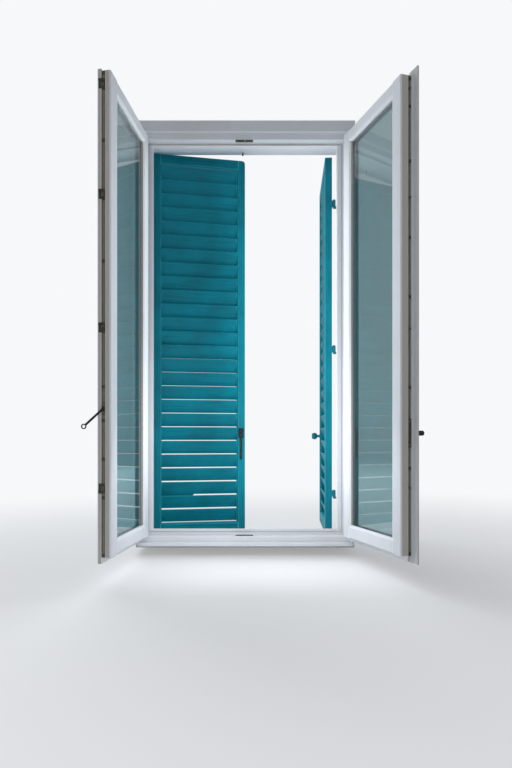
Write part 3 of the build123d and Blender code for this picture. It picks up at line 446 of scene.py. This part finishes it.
def metal(name):
    """Coated metal with wear in fine patches."""
    colour, worn, rough, metallic = METALS[name]
    material, tree, shader = new_material(name)
    plain = mapped(tree)
    wear = noise(tree, plain, *METAL_PATCHES)
    specks = noise(tree, plain, *METAL_SPECKS)
    base = mixed(tree, spread(tree, wear, *METAL_WEAR_MASK), colour, worn)
    link(tree, base, shader.inputs["Base Color"])
    link(tree, spread(tree, wear, *rough), shader.inputs["Roughness"])
    shader.inputs["Metallic"].default_value = metallic
    bumped(tree, shader, specks, *METAL_BUMP)
    return material


def clear_glass(name):
    """Clear pane, tinted green and darkened with painted shade, with a faint film that catches the light."""
    material, tree, shader = new_material(name)
    film = noise(tree, mapped(tree), *GLASS_PATCHES)
    shader.inputs["Base Color"].default_value = (*GLASS_TINT_AND_PAINTED_SHADE, 1)
    shader.inputs["Transmission Weight"].default_value = 1.0
    shader.inputs["IOR"].default_value = GLASS_IOR
    link(tree, spread(tree, film, *GLASS_ROUGH), shader.inputs["Roughness"])
    return material


def rubber(name, colour):
    """Dull rubber with darker specks."""
    material, tree, shader = new_material(name)
    specks = noise(tree, mapped(tree), *RUBBER_SPECKS)
    darker = tuple(c * RUBBER_SHADE for c in colour)
    link(tree, mixed(tree, specks, colour, darker), shader.inputs["Base Color"])
    shader.inputs["Roughness"].default_value = RUBBER_ROUGH
    bumped(tree, shader, specks, *RUBBER_BUMP)
    return material


# Materials on the CAD nodes


def give(material, *names):
    """Puts one material on some CAD nodes."""
    for name in names:
        data = NODES[name].data
        data.materials.clear()
        data.materials.append(material)


def meeting_edge(leaf):
    """Direction that a sash's meeting edge faces at rest, or None on the frame."""
    if leaf not in MEETING_EDGE_FACES:
        return None
    return math.radians(MEETING_EDGE_FACES[leaf] + LEAVES[leaf][1])


def leaf_paint(leaf, way):
    """Paint of a leaf or of the frame, for members that run up or level."""
    label = leaf + "_paint_" + way
    angle = LEAVES[leaf][1]
    if "shutter" in leaf:
        return shutter_paint(label, way, angle)
    return paint(label, WHITE, WHITE_DIRT, way, angle, edge=meeting_edge(leaf))


def runs_level(name):
    """Tells whether a member runs level."""
    return any(word in name for word in LEVEL_WORDS)


def finish_timber():
    """Paint for every timber member, with marks along its length."""
    for leaf in LEAVES:
        for way in ("up", "level"):
            material = leaf_paint(leaf, way)
            for name in NODES:
                if name.startswith(leaf) and runs_level(name) == (way == "level"):
                    give(material, name)
    give(paint("trim_paint", WHITE, WHITE_DIRT, "level"), *TRIM)
    # The lining sides take the white paint darkened with painted shade
    give(paint("lining_paint_with_painted_shade", LINING_WITH_PAINTED_SHADE, WHITE_DIRT, "up"), *LINING_SIDES)
    give(paint("sill_paint", SILL, SILL_DIRT, "level", rough=SILL_ROUGH, bump=SILL_BUMP), "outer_sill")


def finish_fittings():
    """Metal, glass and rubber."""
    for kind, names in FITTINGS.items():
        give(metal(kind), *names)
    give(clear_glass("clear_glass"), "left_sash_glass", "right_sash_glass")
    give(rubber("pale_rubber", RUBBER), "frame_seal")


# Screws on the fittings


def screw_head(build, place, toward):
    """Low round head with a socket, set on a face that looks along toward."""
    turn = Vector(toward).to_track_quat("Z", "Y").to_matrix().to_4x4()
    where = Matrix.Translation(place) @ turn
    rings = [
        (SCREW_R, 0.0),
        (SCREW_R, SCREW_PROUD * SCREW_RIM_SHARE),
        (SCREW_R * SCREW_TOP_SHARE, SCREW_PROUD),
        (SOCKET_R, SCREW_PROUD),
        (SOCKET_R * SOCKET_FLOOR_SHARE, SCREW_PROUD - SOCKET_DEPTH),
    ]
    loops = []
    for radius, height in rings:
        loop = []
        for i in range(SCREW_SIDES):
            angle = 2 * math.pi * i / SCREW_SIDES
            point = Vector((radius * math.cos(angle), radius * math.sin(angle), height))
            loop.append(build.verts.new(where @ point))
        loops.append(loop)
    for low, high in zip(loops, loops[1:]):
        for i in range(SCREW_SIDES):
            j = (i + 1) % SCREW_SIDES
            build.faces.new((low[i], low[j], high[j], high[i]))
    build.faces.new(loops[-1])


def screws(name, body, spots, toward, material):
    """One piece with a screw head at each spot, turned with its leaf."""
    mesh = bpy.data.meshes.new(name)
    build = bmesh.new()
    for spot in spots:
        screw_head(build, spot, toward)
    build.transform(placed(body))
    build.to_mesh(mesh)
    build.free()
    mesh.materials.append(material)
    made = bpy.data.objects.new(name, mesh)
    bpy.context.scene.collection.objects.link(made)
    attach(made, body)


def below_and_above(x, y, z, apart):
    """Two spots at the same distance below and above a middle."""
    return [(x, y, z - apart), (x, y, z + apart)]


def strike_spots(z):
    """Two spots beside the slot of a strike plate."""
    return [(x, STRIKE_Y, z) for x in (STRIKE_X - STRIKE_SCREW_X, STRIKE_X + STRIKE_SCREW_X)]


def keep_spots():
    """Two spots on each keep."""
    spots = []
    for share in KEEPS_AT:
        spots += below_and_above(KEEP_X, KEEP_Y, SASH_FOOT + share * SASH_HEIGHT, KEEP_SCREW_Z)
    return spots


def latch_spots():
    """Four spots in the corners of the latch plate."""
    x, y, z = LATCH
    return [(x + a * LATCH_SCREW_X, y, z + b * LATCH_SCREW_Z) for a in (-1, 1) for b in (-1, 1)]


def add_screws():
    """Screws on the keeps, gear cases, strikes and latch plate."""
    plain = metal("screw_steel")
    dark = metal("screw_dark")
    screws("keep_screws", "left_sash", keep_spots(), (1, 0, 0), dark)
    screws("left_case_screws", "left_sash", below_and_above(*LEFT_CASE), (1, 0, 0), plain)
    screws("right_case_screws", "right_sash", below_and_above(*RIGHT_CASE), (-1, 0, 0), plain)
    screws("top_strike_screws", "frame", strike_spots(STRIKE_TOP_Z), (0, 0, -1), plain)
    screws("low_strike_screws", "frame", strike_spots(STRIKE_LOW_Z), (0, 0, 1), plain)
    screws("latch_screws", "left_shutter", latch_spots(), (0, -1, 0), dark)


# Floor, light and camera


def seen_directly(tree):
    """How much of the backdrop a ray sees: all for the eye, part for glass, none for light."""
    path = node(tree, "ShaderNodeLightPath")
    through = worked_out(tree, "MULTIPLY", path.outputs["Is Transmission Ray"], THROUGH_GLASS)
    mirrored = worked_out(tree, "MULTIPLY", path.outputs["Is Glossy Ray"], IN_MIRROR)
    other = worked_out(tree, "MAXIMUM", through, mirrored)
    return worked_out(tree, "MAXIMUM", path.outputs["Is Camera Ray"], other)


def floor_fade(tree, shader):
    """The floor pales into the backdrop away from the object."""
    where = node(tree, "ShaderNodeTexCoord")
    length = node(tree, "ShaderNodeVectorMath", operation="LENGTH")
    link(tree, where.outputs["Object"], length.inputs[0])
    away = node(tree, "ShaderNodeMapRange", interpolation_type="SMOOTHSTEP")
    away.inputs["From Min"].default_value = FADE_START
    away.inputs["From Max"].default_value = FADE_END
    away.inputs["To Min"].default_value = FADE_LEAST
    link(tree, length.outputs["Value"], away.inputs["Value"])
    pale = node(tree, "ShaderNodeEmission")
    pale.inputs["Color"].default_value = BACKDROP
    mix = node(tree, "ShaderNodeMixShader")
    fade = worked_out(tree, "MULTIPLY", away.outputs["Result"], seen_directly(tree))
    link(tree, fade, mix.inputs[0])
    link(tree, shader.outputs["BSDF"], mix.inputs[1])
    link(tree, pale.outputs[0], mix.inputs[2])
    link(tree, mix.outputs[0], tree.nodes["Material Output"].inputs["Surface"])


def add_floor():
    """Plain pale floor under the object."""
    mesh = bpy.data.meshes.new("studio_floor")
    build = bmesh.new()
    bmesh.ops.create_grid(build, x_segments=1, y_segments=1, size=FLOOR_SIZE / 2)
    build.to_mesh(mesh)
    build.free()
    plane = bpy.data.objects.new("studio_floor", mesh)
    bpy.context.scene.collection.objects.link(plane)
    plane.location = (0, 0, FLOOR_Z)
    material, tree, shader = new_material("studio_floor")
    shader.inputs["Base Color"].default_value = (*FLOOR_COLOUR, 1)
    shader.inputs["Roughness"].default_value = FLOOR_ROUGH
    shader.inputs["Specular IOR Level"].default_value = FLOOR_SPECULAR
    floor_fade(tree, shader)
    mesh.materials.append(material)


def hang_lamp(name, data, location, power, colour):
    """A lamp that lights the object and isn't seen itself."""
    data.energy = power
    data.color = colour
    lamp = bpy.data.objects.new(name, data)
    bpy.context.scene.collection.objects.link(lamp)
    lamp.location = location
    lamp.visible_camera = False
    lamp.visible_transmission = False
    lamp.visible_glossy = False
    return lamp


def area_light(name, location, target, size, power, colour):
    """Rectangular lamp that shines from its place toward a target."""
    data = bpy.data.lights.new(name, "AREA")
    data.shape = "RECTANGLE"
    data.size, data.size_y = size
    lamp = hang_lamp(name, data, location, power, colour)
    lamp.rotation_euler = (Vector(target) - Vector(location)).to_track_quat("-Z", "Y").to_euler()


def round_light(name, location, radius, power, colour):
    """Ball-shaped lamp that shines to all sides."""
    data = bpy.data.lights.new(name, "POINT")
    data.shadow_soft_size = radius
    hang_lamp(name, data, location, power, colour)


def add_lamps():
    """Sky outside, fill in the room, and soft light in the opening; metres and watts."""
    area_light(
        "sky_light",
        location=(-3.0, 6.5, 5.0),
        target=(0.2, 0.3, 1.0),
        size=(6.0, 6.0),
        power=600,
        colour=(0.93, 0.97, 1.0),
    )
    round_light(
        "room_fill",
        location=(-0.3, -4.5, 1.1),
        radius=0.6,
        power=98,
        colour=(1.0, 0.99, 0.98),
    )
    area_light(
        "sill_glow",
        location=(0, -0.55, 0.6),
        target=(0, 0.2, 0.35),
        size=(0.8, 0.5),
        power=3.4,
        colour=(0.96, 0.98, 1.0),
    )
    area_light(
        "right_shutter_glow",
        location=(0.1, 0.08, 1.05),
        target=(0.5, 0.5, 1.05),
        size=(0.25, 1.5),
        power=3.2,
        colour=(0.95, 0.98, 1.0),
    )
    area_light(
        "opening_glow",
        location=(0, -0.05, 1.14),
        target=(0, -1.0, 1.14),
        size=(0.88, 1.72),
        power=10.2,
        colour=(0.95, 0.98, 1.0),
    )
    area_light(
        "reveal_glow",
        location=(0, 0.26, 1.06),
        target=(0, -1.0, 1.06),
        size=(0.9, 1.9),
        power=4.6,
        colour=(0.97, 0.98, 1.0),
    )


def add_world():
    """Pale backdrop for the eye and the glass, softer light for the rest."""
    made = bpy.data.worlds.new("studio")
    bpy.context.scene.world = made
    made.use_nodes = True
    tree = made.node_tree
    tree.nodes.clear()
    out = node(tree, "ShaderNodeOutputWorld")
    soft = node(tree, "ShaderNodeBackground")
    soft.inputs["Color"].default_value = WORLD_COLOUR
    soft.inputs["Strength"].default_value = WORLD_STRENGTH
    pale = node(tree, "ShaderNodeBackground")
    pale.inputs["Color"].default_value = BACKDROP
    mix = node(tree, "ShaderNodeMixShader")
    link(tree, seen_directly(tree), mix.inputs[0])
    link(tree, soft.outputs[0], mix.inputs[1])
    link(tree, pale.outputs[0], mix.inputs[2])
    link(tree, mix.outputs[0], out.inputs["Surface"])


def add_camera():
    """Camera at the photo's place and viewing angle."""
    data = bpy.data.cameras.new("camera")
    data.sensor_width = SENSOR_WIDTH
    data.lens = LENS
    data.shift_x = SHIFT_X
    data.shift_y = SHIFT_Y
    data.clip_start = CLIP_START
    data.clip_end = CLIP_END
    camera = bpy.data.objects.new("camera", data)
    bpy.context.scene.collection.objects.link(camera)
    camera.location = CAMERA_PLACE
    camera.rotation_euler = (math.radians(CAMERA_PITCH), 0, 0)
    bpy.context.scene.camera = camera


finish_timber()
finish_fittings()
add_screws()
add_floor()
add_lamps()
add_world()
add_camera()

bpy.context.scene.view_settings.view_transform = "Standard"
